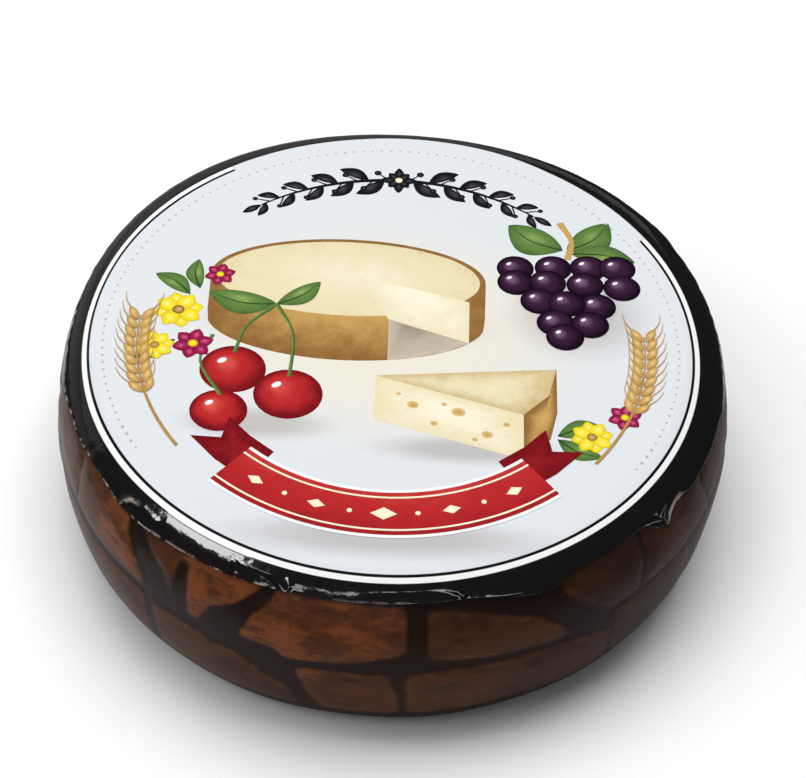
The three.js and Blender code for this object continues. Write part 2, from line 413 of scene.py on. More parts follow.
rind = Finish("netted_rind")
patches = rind.noise(11, detail=3, roughness=0.6, stretch=(0.7, 0.7, 1.5))
mottle = rind.noise(4.5, detail=4, roughness=0.6, stretch=(0.7, 0.7, 1.3))
grain = rind.noise(1.6, detail=4, roughness=0.65)
pad = rind.attribute("pad")
inward = rind.attribute("inward")
tone_and_shade = rind.attribute("tone_and_shade")
ragged = rind.math("ADD", pad, rind.swing(mottle, RAGGED))
on_pad = rind.ramp(ragged, 0.15, 0.95)
uneven = rind.math("ADD", rind.swing(patches, PATCH_SWING), rind.swing(mottle, MOTTLE_SWING))
lively = rind.ramp(tone_and_shade, 0.1, 1.0, 0.22, 1.15)
heat = rind.math("ADD", tone_and_shade, rind.math("MULTIPLY", uneven, lively))
brown = rind.mix(rind.ramp(heat, 0.0, 0.60), PAD_DARK, PAD_BROWN)
orange = rind.mix(rind.ramp(heat, 0.6, 1.35), brown, PAD_ORANGE)
# painted highlight: a lighter band just inside each pad's edge, broken up by the mottle
rim = rind.math("MULTIPLY", rind.ramp(inward, 0.08, 0.2), rind.ramp(inward, 0.42, 0.2))
wear_and_edge_highlight = rind.math("MULTIPLY", rim, rind.ramp(mottle, 0.42, 0.68, 0.0, 0.4))
wear_and_edge_highlight = rind.math("MULTIPLY", wear_and_edge_highlight, rind.ramp(tone_and_shade, 0.0, 0.8, 0.3, 1.0))
lit = rind.mix(wear_and_edge_highlight, orange, PAD_EDGE_HIGHLIGHT)
parts = rind.node("SeparateXYZ", {"Vector": rind.place}).outputs
above_heel = rind.ramp(parts["Z"], COAT_HEEL[0] * MM, COAT_HEEL[1] * MM)
coating = rind.ramp(parts["X"], -BELLY_RADIUS * MM, 0.0, COAT_LEFT, COAT_MIDDLE)
rind.principled(
    base_color=rind.mix(on_pad, BAND, lit), normal=rind.bump(grain, GRAIN_DEPTH),
    roughness=0.45, specular_ior_level=0.03,
    coat_weight=rind.math("MULTIPLY", above_heel, coating), coat_roughness=0.2,
)
wheel.data.materials.append(rind.material)
print("rind finished")

# %% [markdown]
# ## The label
# The label is one disc of coated paper. It lies flat on the top and its black border is
# folded down over the shoulder, where the paper creases because its rim is too long for
# the turn. It is wrapped like the wheel, and each point of the border is set between the
# edge of the print and the label's own wavy edge, and lifted where a crease runs.

# %% Sizes of the label, mm
LABEL_CENTRE = (-1.6, -3.9)
PRINT_RADIUS = 131.4
LABEL_EDGE = [
    (-84, 69.5), (-70, 75.5), (-56, 77.9), (-48, 77.2), (-31, 79.2), (-7, 80.4), (13, 80.8),
    (27, 77), (33, 80.2), (46, 80), (52, 73.4), (57, 77), (62, 74.5), (76, 73.5), (84, 71),
    (112, 76.5), (140, 74), (178, 77), (214, 74.5), (248, 76), (276, 69.5),
]
CREASES = [
    (1.8, [(-49.3, 77, 0.6), (-48.6, 80, 0.7), (-47.2, 82.2, 0.7), (-44.5, 82.6, 0.5),
           (-41, 82, 0.3)]),
    (1.6, [(-25.2, 87, 0.5), (-25, 84.5, 0.5), (-24.6, 81, 0.2)]),
    (1.8, [(-24.6, 84.8, 0.3), (-20.5, 84.2, 0.35), (-17.8, 83.2, 0.7), (-16.6, 81.6, 0.9),
           (-16.2, 80, 0.6)]),
    (1.6, [(-15.6, 83.6, 0.3), (-15.2, 82, 0.8), (-15.4, 80, 0.5)]),
    (2.4, [(-14.5, 83.9, 0.2), (-12, 84.4, 0.24), (-9, 84.2, 0.22), (-6, 84.5, 0.25),
           (-3, 84.8, 0.28)]),
    (1.6, [(-3, 84.6, 0.26), (0, 84.9, 0.28), (4, 85.1, 0.32), (7.5, 85.3, 0.38),
           (10, 84.6, 0.36), (12, 83.4, 0.4), (12.8, 81.8, 0.5)]),
    (1.8, [(-15, 79.4, 0.25), (-9, 79.6, 0.25)]),
    (1.4, [(-8, 80.3, 0.14), (5, 80.7, 0.14), (12, 80.8, 0.12)]),
    (2.0, [(17.3, 80.2, 0.15), (20, 79.6, 0.3), (22.3, 79.2, 0.7), (23.6, 78.4, 0.8),
           (25.3, 77.8, 0.4)]),
    (2.2, [(44, 80.6, 0.2), (47.5, 80, 0.35), (50, 77.8, 0.5), (51.6, 75.6, 0.4)]),
    (2.2, [(52.3, 74.4, 0.6), (53.6, 77.4, 0.8), (55.5, 78.8, 0.7), (57.8, 79.2, 0.4)]),
    (1.8, [(51.8, 78.6, 0.3), (53.4, 80.2, 0.4), (55, 81.4, 0.2)]),
    (3, [(118, 83, 0.3), (124, 78.5, 0.6), (131, 76, 0.4)]),
    (3, [(160, 80, 0.3), (167, 77.5, 0.5)]),
    (3, [(190, 80, 0.3), (196, 77, 0.5)]),
]
PLEAT_HEIGHT = 0.1
TURN_FROM = -150
# pale flecks along the edge and a few crease ridges: partly worn paper, partly painted highlight on
# the ridges
WORN_AND_HIGHLIT_LINES = [
    (1.0, [(-49, 77, 0.7), (-48.4, 79.4, 0.9), (-47.4, 81.6, 0.9), (-45.5, 82.5, 0.5)]),
    (0.9, [(-57.5, 77.2, 0.3), (-54, 77.6, 0.7), (-51.5, 77.3, 0.5)]),
    (0.8, [(-41, 78.4, 0.3), (-37, 78.9, 0.6), (-31.5, 79.3, 0.5)]),
    (0.6, [(-8, 80.6, 0.12), (-2, 80.8, 0.2), (2, 80.9, 0.22), (5, 81, 0.15)]),
    (0.9, [(52.4, 74.4, 0.3), (53.4, 76.8, 0.6), (55, 78, 0.6), (57.4, 78.4, 0.4)]),
]

print(len(CREASES), "creases and", len(WORN_AND_HIGHLIT_LINES), "torn places")


# %% Measure the edge, the creases and the worn and highlit places
def edge_height(azimuth):
    turned = within(azimuth, LABEL_EDGE[0][0])
    result = np.zeros(np.shape(azimuth))
    for (a0, h0), (a1, h1) in zip(LABEL_EDGE, LABEL_EDGE[1:]):
        here = (turned >= a0) & (turned <= a1)
        result = np.where(here, h0 + (h1 - h0) * smooth(turned, a0, a1), result)
    return result


def print_radius(azimuth):
    """From the wheel's axis out to the edge of the print, drawn round the label's centre."""
    a = np.radians(azimuth)
    x, y = LABEL_CENTRE
    toward = x * np.sin(a) - y * np.cos(a)
    aside = x * np.cos(a) + y * np.sin(a)
    return toward + np.sqrt(PRINT_RADIUS**2 - aside**2)


def strongest(lines, azimuth, height):
    """The third number of the lines at a place; it fades out within each line's reach."""
    most = np.zeros(np.shape(azimuth))
    for reach, line in lines:
        distance, third = nearest(line, within(azimuth, TURN_FROM), height)
        most = np.maximum(most, third * (1 - smooth(distance, 0, reach)))
    return most


def pleats(azimuth, fold):
    """Fine uneven pleats across the border, which grow toward the label's edge."""
    a = np.radians(azimuth)
    fine = np.sin(61 * a + 1) * np.sin(17 * a) + 0.6 * np.sin(97 * a + 2) * np.sin(23 * a + 1)
    return PLEAT_HEIGHT * fold**2 * fine


print("the edge passes", len(LABEL_EDGE), "given heights")

# %% Wrap the label and fold it down
LABEL_COLUMNS = 1080
TURN_ROWS = 7
FOLD_ROWS = 34
WORN_ROWS = (0.91, 0.97)
LIP_ROWS = (0.97, 1.0)
WORN_FADE = 2
WORN_SPANS = [(-78, -50, 1.0), (-46, -24, 1.0), (51, 58, 0.8), (150, 200, 0.8)]
LABEL_LIFT = LABEL_GAP + LABEL_THICKNESS


def tilt_at_radius(radius):
    return np.degrees(np.arccos((radius - TOP_FLAT_RADIUS) / (BELLY_RADIUS - TOP_FLAT_RADIUS)))


flat_rows = len(FLAT_SHARES)
turn_shares = np.linspace(0, 1, TURN_ROWS)
fold_shares = np.linspace(0, 1, FOLD_ROWS + 1)[1:]
row_share = np.concatenate([FLAT_SHARES, np.ones(TURN_ROWS + FOLD_ROWS)])
row_turn = np.concatenate([np.zeros(flat_rows), turn_shares, np.ones(FOLD_ROWS)])
row_fold = np.concatenate([np.zeros(flat_rows + TURN_ROWS), fold_shares])
label, azimuth, row = sheet("label", LABEL_COLUMNS, len(row_share))
start = tilt_at_radius(print_radius(azimuth))
end = np.degrees(np.arcsin((edge_height(azimuth) - MIDDLE) / MIDDLE))
tilt = 90 + (start - 90) * row_turn[row] + (end - start) * row_fold[row]
fold = row_fold[row]
level = MIDDLE + MIDDLE * np.sin(np.radians(tilt))
crease = strongest(CREASES, azimuth, level)
crease = (crease + pleats(azimuth, fold)) * smooth(fold, 0, 0.15)
radius, height = drum_section(tilt, LABEL_LIFT + crease)
turned = within(azimuth, TURN_FROM)
worn = sum(share * smooth(turned, first - WORN_FADE, first + WORN_FADE)
           * smooth(turned, last + WORN_FADE, last - WORN_FADE)
           for first, last, share in WORN_SPANS)
store(label, "edge", worn * smooth(fold, *WORN_ROWS))
store(label, "worn_and_highlit", strongest(WORN_AND_HIGHLIT_LINES, azimuth, level) * (fold > 0))
store(label, "lip", smooth(fold, *LIP_ROWS))
wrap(label, placed(azimuth, row_share[row] * (radius + out_of_round(azimuth)), height))
thicken(label, LABEL_THICKNESS)

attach(label, "root")
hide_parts("top_label")

# %% [markdown]
# ## The label's finish
# The disc is printed in a cool pale tone. Near its rim runs a thin black line, then a white
# ring, and past that the border is solid black, all drawn round the label's own centre. On
# the far side the line and the ring stop, and the pale tone runs out to the border. The
# distance and direction from that centre are enough to lay the rings, without an image.

# %% Measure from the label's centre
LINE_INNER, LINE_OUTER = 128.1, 129.3
RING_GAP_AT = math.radians(169)
RING_GAP_HALF = math.radians(47)
RING_GAP_FADE = 0.006
FIELD_WIDENING = 0.8
WIDENING_FROM = 0.93
PRINT_BLUR = 0.15

paper = Finish("printed_label")
centred = paper.node("Mapping", {
    "Vector": paper.place, "Scale": (1, 1, 0),
    "Location": (-LABEL_CENTRE[0] * MM, -LABEL_CENTRE[1] * MM, 0),
}).outputs[0]
metres = paper.length(centred)
from_centre = paper.math("DIVIDE", metres, MM)
toward_gap = paper.node("VectorMath", {
    0: centred, 1: (math.sin(RING_GAP_AT), -math.cos(RING_GAP_AT), 0),
}, operation="DOT_PRODUCT").outputs["Value"]
facing_gap = paper.math("DIVIDE", toward_gap, metres)
gap_edge = math.cos(RING_GAP_HALF)
ring_share = paper.ramp(facing_gap, gap_edge + RING_GAP_FADE, gap_edge)
widened = paper.ramp(facing_gap, WIDENING_FROM, 1.0, 0.0, FIELD_WIDENING)


def beyond(radius_mm, distance=from_centre):
    return paper.ramp(distance, radius_mm - PRINT_BLUR, radius_mm + PRINT_BLUR)


print("white ring", round(PRINT_RADIUS - LINE_OUTER, 1), "mm wide")

# %% [markdown]
# The picture that is drawn later gets a warm glow round it and a soft shade under each thing
# in it. Both are round pools of tone that fade toward their rims, laid before the rings.

# %% Lay the tones and the rings
FIELD = (0.69, 0.722, 0.755)
WHITE = (0.90, 0.90, 0.90)
BLACK = (0.0078, 0.0076, 0.0076)
GLOW = (0.80, 0.745, 0.60)
GLOW_POOL, GLOW_STRENGTH = ((-4, 4), 112, 84), 0.75
SHADE = (0.30, 0.25, 0.22)
SHADE_STRENGTH = 0.5
SHADES = [
    ((-18, 8), 74, 20), ((32, -62), 48, 10), ((-54, -52), 40, 12), ((80, 20), 38, 34),
    ((2, -110), 84, 14),
]


def pool(centre, across, away):
    """A soft round mask on the label: 1 in the middle and 0 past its rim."""
    spot = paper.node("Mapping", {
        "Vector": centred, "Scale": (1 / (across * MM), 1 / (away * MM), 0),
        "Location": (-centre[0] / across, -centre[1] / away, 0),
    }).outputs[0]
    return paper.ramp(paper.length(spot), 1.0, 0.25)


def over(under, mask, share, tone):
    return paper.mix(paper.math("MULTIPLY", mask, share), under, tone)


field = over(FIELD, pool(*GLOW_POOL), GLOW_STRENGTH, GLOW)
for place in SHADES:
    field = over(field, pool(*place), SHADE_STRENGTH, SHADE)
lined = over(field, beyond(LINE_INNER), ring_share, BLACK)
ringed = over(lined, beyond(LINE_OUTER), ring_share, WHITE)
past_print = beyond(PRINT_RADIUS, paper.math("SUBTRACT", from_centre, widened))
bordered = paper.mix(past_print, ringed, BLACK)
print(len(SHADES), "shades on the field")

# %% [markdown]
# Along the label's edge the black has worn off in flecks and shows the paper. A few creases
# get the same pale flecks, partly worn paper and partly painted highlight on their ridges. The
# mesh has stored where, and noise breaks it up. The paper is cockled, and crumpled on the
# border, under a clear gloss that the cut through the paper itself does not have.

# %% Wear the edge, paint highlights on the crease ridges, and gloss the paper
PALE_FLECK_AND_HIGHLIGHT = (0.46, 0.38, 0.34)
BORDER_MARGIN = 0.5
COCKLE_DEPTH, CRUMPLE_DEPTH = 0.25, 0.12
PRINT_ROUGHNESS = 0.4
GLOSS, WORN_GLOSS = 0.8, 0.2
GLOSS_ROUGHNESS = 0.09

edge = paper.attribute("edge")
flecks = paper.noise(5, detail=4, roughness=0.7)
wear_and_edge_highlight = paper.math("MULTIPLY", edge, paper.ramp(flecks, 0.50, 0.60))
# pale flecks on the crease ridges and the edge: partly worn paper, partly painted highlight
worn_and_highlit = paper.math("MULTIPLY", paper.attribute("worn_and_highlit"), paper.ramp(flecks, 0.42, 0.52))
flecked_and_highlit = paper.mix(paper.math("MAXIMUM", wear_and_edge_highlight, worn_and_highlit), bordered, PALE_FLECK_AND_HIGHLIGHT)
cockle = paper.bump(paper.noise(14, detail=2), COCKLE_DEPTH)
creasing = paper.math("MULTIPLY", paper.noise(4, detail=2), beyond(PRINT_RADIUS + BORDER_MARGIN))
crumple = paper.bump(creasing, CRUMPLE_DEPTH, Normal=cockle)
gloss = paper.ramp(edge, 0.0, 1.0, GLOSS, WORN_GLOSS)
paper.principled(
    base_color=flecked_and_highlit, roughness=PRINT_ROUGHNESS, specular_ior_level=0.0, normal=crumple,
    coat_weight=paper.math("SUBTRACT", gloss, paper.attribute("lip")),
    coat_roughness=GLOSS_ROUGHNESS, coat_normal=crumple,
)
label.data.materials.append(paper.material)
print("label printed")

# %% [markdown]
# ## Ink on the label
# A label like this is printed in a few flat inks, one over another. Each ink is modelled as
# shapes of film under two hundredths of a millimetre thick, so its edges are crisp as print.
# A shape starts as a filled circle and a stroke as a strip of quads, and a function of the
# place along the outline bends them into a fruit, a leaf or a brush stroke. Each new shape
# lies one film above those it could cover, so the order of drawing decides what is in front.
# Places on the label are (across, away) in millimetres from its centre, as seen from in front.

# %% An ink and its shapes
FILM = 0.02
FILM_FULLNESS = 0.8


def heading(path, share):
    """Which way a path runs at a share of its length."""
    return (path(share + 0.01) - path(share - 0.01)).normalized()


def leftward(direction):
    return Vector((-direction.y, direction.x))


class Ink:
    """One printed colour: flat shapes on films above the paper."""

    laid = []

    def __init__(self, name):
        self.name = name
        self.bm = bmesh.new()
        self.tone = self.bm.verts.layers.float.new("tone")

    def lay(self, verts, spots, tones):
        """Puts a shape's verts at their spots, one film above what it could cover."""
        low = np.min(spots, axis=0)
        high = np.max(spots, axis=0)
        under = [level for a, b, level in Ink.laid if (low < b).all() and (a < high).all()]
        level = 1 + max(under, default=0)
        Ink.laid.append((low, high, level))
        for vert, spot, tone in zip(verts, spots, tones):
            x, y = spot[0] + LABEL_CENTRE[0], spot[1] + LABEL_CENTRE[1]
            vert.co = Vector((x, y, HEIGHT + FILM * level)) * MM
            vert[self.tone] = tone

    def shape(self, outline, heart, sides=32, tones=(0.0, 1.0)):
        """Fills an outline as a fan from its heart; the tone runs from there to the rim."""
        fan = bmesh.ops.create_circle(
            self.bm, cap_ends=True, cap_tris=True, segments=sides, radius=1.0)["verts"]
        inner = [vert.co.length < 0.5 for vert in fan]
        shares = [math.atan2(-vert.co.x, vert.co.y) / math.tau % 1 for vert in fan]
        spots = [heart if at_heart else outline(s) for at_heart, s in zip(inner, shares)]
        self.lay(fan, spots, [tones[0] if at_heart else tones[1] for at_heart in inner])

    def stroke(self, path, width, steps=24, tones=(0.5, 0.5)):
        """A strip along a path, as wide at each share of it as the width function says."""
        strip = bmesh.ops.create_grid(
            self.bm, x_segments=steps, y_segments=1, size=1.0)["verts"]
        spots = []
        for vert in strip:
            share = (vert.co.x + 1) / 2
            aside = leftward(heading(path, share)) * vert.co.y * width(share) / 2
            spots.append(path(share) + aside)
        self.lay(strip, spots, [tones[0] if vert.co.y > 0 else tones[1] for vert in strip])

    def dot(self, spot, radius, sides=16, tones=(0.3, 0.9)):
        self.shape(oval(spot, radius, radius), spot, sides, tones)

    def piece(self, finish):
        """The film as an object with its finish."""
        self.bm.normal_update()
        turned = [face for face in self.bm.faces if face.normal.z < 0]
        bmesh.ops.reverse_faces(self.bm, faces=turned)
        film = as_piece(self.name, self.bm)
        thicken(film, FILM_FULLNESS * FILM)
        film.data.materials.append(finish)
        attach(film, "root")
        print(self.name, "has", len(film.data.polygons), "faces")


# %% Outlines, paths and widths
def oval(centre, across, away, turn=0.0):
    """The outline of an ellipse, turned by some degrees."""
    lean = math.radians(turn)

    def outline(share):
        x, y = across * math.cos(math.tau * share), away * math.sin(math.tau * share)
        spot = (x * math.cos(lean) - y * math.sin(lean), x * math.sin(lean) + y * math.cos(lean))
        return Vector(centre) + Vector(spot)

    return outline


def straight(*corners):
    """A straight-sided outline; the number of sides asked for is a multiple of its corners."""
    spots = [Vector(corner) for corner in corners]

    def outline(share):
        place = share * len(spots)
        first = int(place) % len(spots)
        return spots[first].lerp(spots[(first + 1) % len(spots)], place - int(place))

    return outline


def leaf(base, tip, width, bend=0.0):
    """A pointed leaf or grain from base to tip, bent to its left by some millimetres."""
    base, tip = Vector(base), Vector(tip)
    axis = tip - base
    left = leftward(axis).normalized()

    def outline(share):
        there = 2 * min(share, 1 - share)
        swell = math.sin(math.pi * there)
        side = -1 if share < 0.5 else 1
        return base + axis * there + left * (side * width / 2 * swell**0.8 + bend * swell)

    return outline


def through(*points):
    """A smooth path through points, as a function of the share from 0 to 1."""
    line = [Vector(point) for point in points]
    line = [2 * line[0] - line[1], *line, 2 * line[-1] - line[-2]]
    spans = len(points) - 1

    def path(share):
        i = min(int(max(share, 0) * spans), spans - 1)
        t = share * spans - i
        a, b, c, d = line[i:i + 4]
        bent = (2 * a - 5 * b + 4 * c - d) * t**2 + (3 * b - a - 3 * c + d) * t**3
        return 0.5 * (2 * b + (c - a) * t + bent)

    return path


def arc(radius, start, end):
    """A path round the label's centre, between two angles in degrees from the right."""

    def path(share):
        a = math.radians(start + (end - start) * share)
        return radius * Vector((math.cos(a), math.sin(a)))

    return path


def taper(*widths):
    """A width that passes evenly through those given, or stays at the only one."""
    places = np.linspace(0, 1, len(widths))
    return lambda share: float(np.interp(share, places, widths))


print("ink films are", FILM, "mm apart")

# %% [markdown]
# ### The inks' finish
# Every ink has a light, a middle and a dark tone, and the tone stored on each point picks
# between them, which rounds the fruit and the cheese. Fine noise breaks the colour up as a
# printed screen does, and the same gloss as on the paper lies over it.

# %% Mix the inks
CLOUD_SWING, SCREEN_SWING = 0.35, 0.25


def ink_finish(name, light, middle, dark):
    ink = Finish(name)
    cloud = ink.swing(ink.noise(7, detail=3), CLOUD_SWING)
    screen = ink.swing(ink.noise(0.9, detail=2), SCREEN_SWING)
    moved = ink.math("ADD", ink.attribute("tone"), ink.math("ADD", cloud, screen))
    lighter = ink.mix(ink.ramp(moved, 0.0, 0.5), light, middle)
    ink.principled(
        base_color=ink.mix(ink.ramp(moved, 0.5, 1.0), lighter, dark),
        roughness=PRINT_ROUGHNESS, specular_ior_level=0.0,
        coat_weight=GLOSS, coat_roughness=GLOSS_ROUGHNESS,
    )
    return ink.material


INKS = {
    "red": ((0.66, 0.09, 0.07), (0.45, 0.022, 0.024), (0.17, 0.006, 0.010)),
    "black": ((0.055, 0.055, 0.060), (0.010, 0.010, 0.011), (0.004, 0.004, 0.005)),
    "cream": ((0.88, 0.83, 0.66), (0.77, 0.68, 0.44), (0.55, 0.40, 0.17)),
    "ochre": ((0.76, 0.54, 0.24), (0.54, 0.33, 0.10), (0.25, 0.12, 0.035)),
    "green": ((0.30, 0.42, 0.12), (0.11, 0.21, 0.05), (0.025, 0.07, 0.02)),
    "violet": ((0.20, 0.11, 0.20), (0.036, 0.012, 0.034), (0.008, 0.003, 0.009)),
    "yellow": ((0.93, 0.86, 0.30), (0.84, 0.70, 0.03), (0.62, 0.40, 0.01)),
    "magenta": ((0.62, 0.12, 0.26), (0.30, 0.012, 0.07), (0.10, 0.003, 0.02)),
    "white": ((0.90, 0.90, 0.90), (0.86, 0.87, 0.88), (0.70, 0.72, 0.75)),
    "grey": ((0.60, 0.62, 0.66), (0.45, 0.47, 0.51), (0.28, 0.29, 0.32)),
    "shade": ((0.66, 0.60, 0.49), (0.47, 0.41, 0.32), (0.29, 0.24, 0.18)),
}
inks = {name: Ink("print_" + name) for name in INKS}
print(len(inks), "inks")

# %% [markdown]
# ### The cheese in the picture
# The middle of the label shows a cut wheel of pale cheese with its wedge drawn forward. The
# wheel is a drum seen from the front: its top is an ellipse, and the same ellipse set lower
# closes the side. The notch shows one cut face and the board in its shade.

# %% Draw the cut wheel
CUT_AT = (-20, 36)
CUT_ACROSS, CUT_AWAY, CUT_DROP = 60, 25, 25
CUT_PASTE = (57.5, 23.2)
NOTCH = (-72, -28)


def on_wheel(angle, drop=0.0):
    """A place on the pictured wheel's rim, lowered by a share of its height."""
    a = math.radians(angle)
    x, y = CUT_ACROSS * math.cos(a), CUT_AWAY * math.sin(a) - CUT_DROP * drop
    return Vector(CUT_AT) + Vector((x, y))


def wheel_side(share):
    angle = 360 * share
    low = min(max(-8 * math.sin(math.radians(angle)), 0), 1)
    return on_wheel(angle, low)


def lower(spot, drop):
    return Vector(spot) - Vector((0, drop))


hub = Vector(CUT_AT) + Vector((4, 2))
near, far = (on_wheel(angle) for angle in NOTCH)
inks["ochre"].shape(wheel_side, hub, 64, (0.2, 0.95))
inks["cream"].shape(oval(CUT_AT, *CUT_PASTE), hub, 64, (0.2, 0.62))
cut_face = straight(hub, lower(near, 1), lower(far, CUT_DROP), far)
inks["cream"].shape(cut_face, hub.lerp(far, 0.5), 32, (0.0, 0.35))
board = straight(
    lower(near, 0.5), lower(near, CUT_DROP), on_wheel(-60, 1.0), on_wheel(-44, 1.0),
    lower(far, CUT_DROP),
)
inks["shade"].shape(board, lower(near.lerp(far, 0.2), 6), 40, (0.9, 0.3))

# %% Draw the wedge
# the corners of the wedge's top, from its tip round the front
TIP, TURN, BEND, BACK = (-6, -22), (56, -41), (67, -29), (70, -14)
WEDGE_DROP = 25
HOLES = [
    ((10, -38), 2.5), ((19, -48), 1.7), ((29, -41), 3.1), ((41, -53), 2.5), ((49, -47), 1.6),
    ((36, -56), 1.3), ((23, -37), 1.2), ((4, -32), 1.1),
]

top = straight(TIP, TURN, BEND, BACK)
inks["cream"].shape(top, (42, -27), 32, (0.35, 0.85))
face = straight(TIP, lower(TIP, WEDGE_DROP), lower(TURN, WEDGE_DROP), TURN)
inks["cream"].shape(face, (26, -41), 32, (0.0, 0.45))
rind_end = straight(
    TURN, lower(TURN, WEDGE_DROP), lower(BEND, WEDGE_DROP), lower(BACK, WEDGE_DROP), BACK, BEND,
)
inks["ochre"].shape(rind_end, (64, -43), 48, (0.35, 1.0))
for spot, size in HOLES:
    inks["ochre"].shape(oval(spot, size, 0.8 * size, -15), spot, 16, (0.5, 0.1))
print("wheel and wedge drawn")

# %% [markdown]
# ### Fruit, leaves and flowers
# Round fruit is a disc whose fan starts off centre, so that the light tone falls on the side
# the light comes from. Dark grapes hang beside the wheel, red cherries lie in front of it,
# and small yellow and dark pink flowers fill the gaps at both sides.

# %% Draw the leaves
LEAVES = [
    ((74, 60), (50, 75), 18, 3), ((76, 60), (95, 79), 16, -3), ((78, 58), (106, 54), 13, 2),
    ((-50, 18), (-80, 24), 14, 3), ((-50, 18), (-32, 33), 10, -2),
    ((-92, -6), (-108, -18), 8, 1), ((-88, 22), (-104, 34), 9, -2), ((-84, 26), (-86, 44), 8, 2),
    ((70, -52), (90, -47), 10, 2), ((70, -54), (88, -63), 9, -2),
]
for base, tip, width, bend in LEAVES:
    outline = leaf(base, tip, width, bend)
    inks["green"].shape(outline, Vector(base).lerp(Vector(tip), 0.55), 40, (0.15, 0.75))
    rib = through(base, outline(0.25).lerp(outline(0.75), 0.5), tip)
    inks["green"].stroke(rib, taper(1.0, 0.6, 0.2), 10, (1.0, 1.0))
print(len(LEAVES), "leaves drawn")

# %% Draw the fruit
GRAPE = 8.2
GRAPE_STEP = 1.75 * GRAPE
GRAPE_ROWS = [(4, 48), (4, 37), (3, 26), (2, 15), (1, 5)]
GRAPES_AT = 76
CHERRIES = [((-66, -22), 14), ((-70, -46), 12), ((-42, -35), 14.5)]
STEMS = [
    [(-66, -12), (-62, 4), (-50, 18)], [(-42, -25), (-42, 0), (-50, 18)],
    [(-70, -37), (-80, -18), (-76, -2)],
]


def alternate(count):
    """Every second number and then those between, so that neighbours overlap evenly."""
    return [*range(0, count, 2), *range(1, count, 2)]


def fruit(ink, spot, size):
    """A round fruit with a light side and a small glint."""
    light = Vector(spot) + Vector((-0.35, 0.35)) * size
    ink.shape(oval(spot, size, 0.97 * size), light, 28)
    inks["white"].shape(oval(light, 0.16 * size, 0.1 * size, 35), light, 12)


inks["ochre"].stroke(through((76, 54), (78, 66), (73, 78)), taper(3.2, 2.2, 3.2), 12)
for count, away in GRAPE_ROWS:
    for i in alternate(count):
        across = GRAPES_AT + (i - (count - 1) / 2) * GRAPE_STEP + 2.0 * math.sin(5 * i + away)
        fruit(inks["violet"], (across, away + 1.5 * math.cos(7 * i + away)), GRAPE)
for spot, size in CHERRIES:
    fruit(inks["red"], spot, size)
for points in STEMS:
    inks["green"].stroke(through(*points), taper(1.7, 1.1, 1.9), tones=(0.3, 0.9))
print(sum(count for count, _ in GRAPE_ROWS), "grapes and", len(CHERRIES), "cherries drawn")

# %% Draw the flowers
FLOWERS = [
    ("yellow", (-92, 12), 11, 8), ("magenta", (-84, -8), 9, 6), ("yellow", (-100, -10), 8.5, 8),
    ("magenta", (-76, 35), 7, 6), ("yellow", (84, -52), 9, 8), ("magenta", (98, -40), 7.5, 6),
]


def petals(ink, centre, reaches, width, turn, heart, tones):
    """A ring of petals, one for each reach, turned by a share of their step."""
    centre = Vector(centre)
    for i in alternate(len(reaches)):
        a = math.tau * (i + turn) / len(reaches)
        out = reaches[i] * Vector((math.cos(a), math.sin(a)))
        ink.shape(leaf(centre, centre + out, width), centre + heart * out, 20, tones)


for colour, centre, size, count in FLOWERS:
    petals(inks[colour], centre, [size] * count, 0.72 * size, 0.3, 0.6, (0.1, 0.8))
    heart = "ochre" if colour == "yellow" else "yellow"
    inks[heart].dot(centre, 0.24 * size, tones=(0.3, 1.0))
print(len(FLOWERS), "flowers drawn")

# %% [markdown]
# ### Ribbon, wheat and garland
# A plain red ribbon follows the front rim and two ears of wheat rise from its ends. One long
# black garland of leaves and berries, as on old printed labels, follows the far rim, and a
# string of tiny grey beads runs outside it, close to the rim.

# %% Draw the ribbon
FRONT, FAR = -90, 90
RIBBON_RADIUS, RIBBON_WIDTH, RIBBON_END = 98, 22, 40
RIBBON_HEM, RIBBON_LINES = 1.5, 8.4
TAIL_RADIUS, TAIL_WIDTH, TAIL_END = 91, 19, 53
TAIL_TUCK, TAIL_NOTCH = 6, 5


def on_arc(radius, angle):
    return arc(radius, angle, angle)(0)


for side in (-1, 1):
    start, end = FRONT + side * (RIBBON_END - TAIL_TUCK), FRONT + side * TAIL_END
    notch, middle = FRONT + side * (TAIL_END - TAIL_NOTCH), (start + end) / 2
    inner, outer = TAIL_RADIUS - TAIL_WIDTH / 2, TAIL_RADIUS + TAIL_WIDTH / 2
    corners = [
        (inner, start), (inner, middle), (inner, end), (TAIL_RADIUS, notch),
        (outer, end), (outer, middle), (outer, start),
    ]
    tail = straight(*(on_arc(*corner) for corner in corners))
    inks["red"].shape(tail, on_arc(TAIL_RADIUS, middle), 28, (0.75, 1.0))
span = FRONT - RIBBON_END, FRONT + RIBBON_END
ribbon = arc(RIBBON_RADIUS, *span)
inks["white"].stroke(ribbon, taper(RIBBON_WIDTH + 2 * RIBBON_HEM), 60)
inks["red"].stroke(ribbon, taper(RIBBON_WIDTH), 60, (0.35, 0.75))
for offset in (-RIBBON_LINES, RIBBON_LINES):
    line = arc(RIBBON_RADIUS + offset, *span)
    inks["cream"].stroke(line, taper(0.9), 60, (0.1, 0.1))
for angle in range(-32, 33, 8):
    spot = on_arc(RIBBON_RADIUS, FRONT + angle)
    if angle % 16:
        inks["cream"].dot(spot, 1.1, 12, (0.1, 0.2))
    else:
        size = 3.8 if angle else 5.4
        out = 0.6 * size * spot.normalized()
        aside = size * leftward(spot.normalized())
        lozenge = straight(spot + out, spot + aside, spot - out, spot - aside)
        inks["cream"].shape(lozenge, spot, 16, (0.0, 0.3))
print("ribbon drawn")

